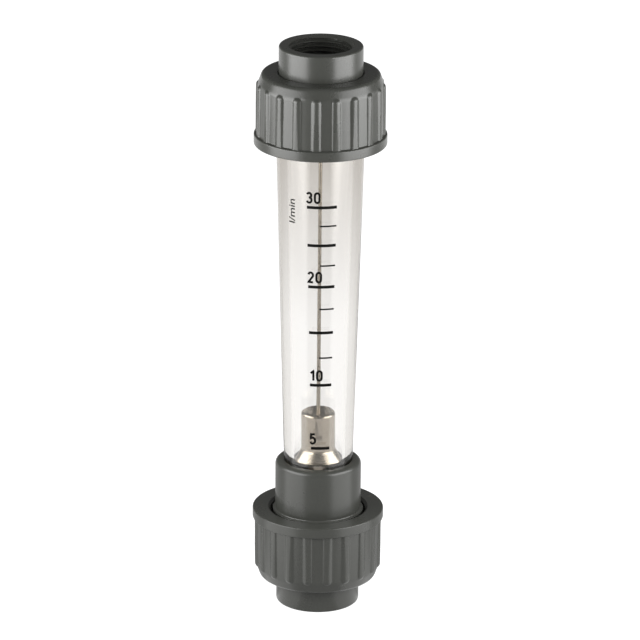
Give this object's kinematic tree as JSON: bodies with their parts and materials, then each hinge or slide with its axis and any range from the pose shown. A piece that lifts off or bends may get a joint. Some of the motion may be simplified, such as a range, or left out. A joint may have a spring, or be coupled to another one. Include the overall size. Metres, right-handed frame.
{
  "type": "variable area flow meter",
  "caption": "Upright variable area flow meter: clear tapered tube with a printed scale, steel float on a guide rod, ribbed union nuts and threaded pipe sockets.",
  "frame": {"origin": "centre of the lower pipe connection's end face, on the surface that the meter stands on", "axes": "+Z along the meter's axis, up and with the flow; the printed scale faces -Y"},
  "size_m": [0.0668, 0.0668, 0.296],
  "materials": {
    "grey_plastic": "dark grey moulded PVC with a satin gloss",
    "clear_plastic": "clear moulded polysulfone, polished",
    "stainless_steel": "fine turned stainless steel",
    "guide_plastic": "natural white moulded fluoropolymer",
    "seal_rubber": "black rubber",
    "black_ink": "black screen printed ink"
  },
  "bodies": {
    "lower_connection": {"lower_end_connector": "grey_plastic", "lower_face_seal": "seal_rubber"},
    "lower_nut": {"lower_union_nut": "grey_plastic"},
    "meter_tube": {"lower_tube_adaptor": "grey_plastic", "lower_rod_guide": "guide_plastic", "lower_rod_washer": "stainless_steel", "lower_rod_nut": "stainless_steel", "lower_float_stop": "guide_plastic", "measuring_tube": "clear_plastic", "scale_marks": "black_ink", "guide_rod": "stainless_steel", "upper_float_stop": "guide_plastic", "upper_rod_guide": "guide_plastic", "upper_rod_washer": "stainless_steel", "upper_rod_nut": "stainless_steel"},
    "metering_float": {"float": "stainless_steel"},
    "upper_connection": {"upper_end_connector": "grey_plastic", "upper_face_seal": "seal_rubber"},
    "upper_nut": {"upper_union_nut": "grey_plastic"}
  },
  "joints": [
    {"name": "lower_nut_turn", "type": "hinge", "parent": "lower_connection", "child": "lower_nut", "pos_m": [0, 0, 0.0324], "axis": [0, 0, -1], "range_deg": [0, 1800]},
    {"name": "meter_lift", "type": "slide", "parent": "lower_connection", "child": "meter_tube", "axis": [0, 0, 1], "range_m": [0, 0.0116]},
    {"name": "float_rise", "type": "slide", "parent": "meter_tube", "child": "metering_float", "axis": [0, 0, 1], "range_m": [0, 0.145]},
    {"name": "upper_connection_lift", "type": "slide", "parent": "meter_tube", "child": "upper_connection", "axis": [0, 0, 1], "range_m": [0, 0.0116]},
    {"name": "upper_nut_turn", "type": "hinge", "parent": "upper_connection", "child": "upper_nut", "pos_m": [0, 0, 0.2636], "axis": [0, 0, 1], "range_deg": [0, 1800]}
  ],
  "couplings": [
    {"joint": "meter_lift", "follows": "lower_nut_turn", "m_per_rad": 0.00036749},
    {"joint": "upper_connection_lift", "follows": "upper_nut_turn", "m_per_rad": 0.00036749}
  ]
}
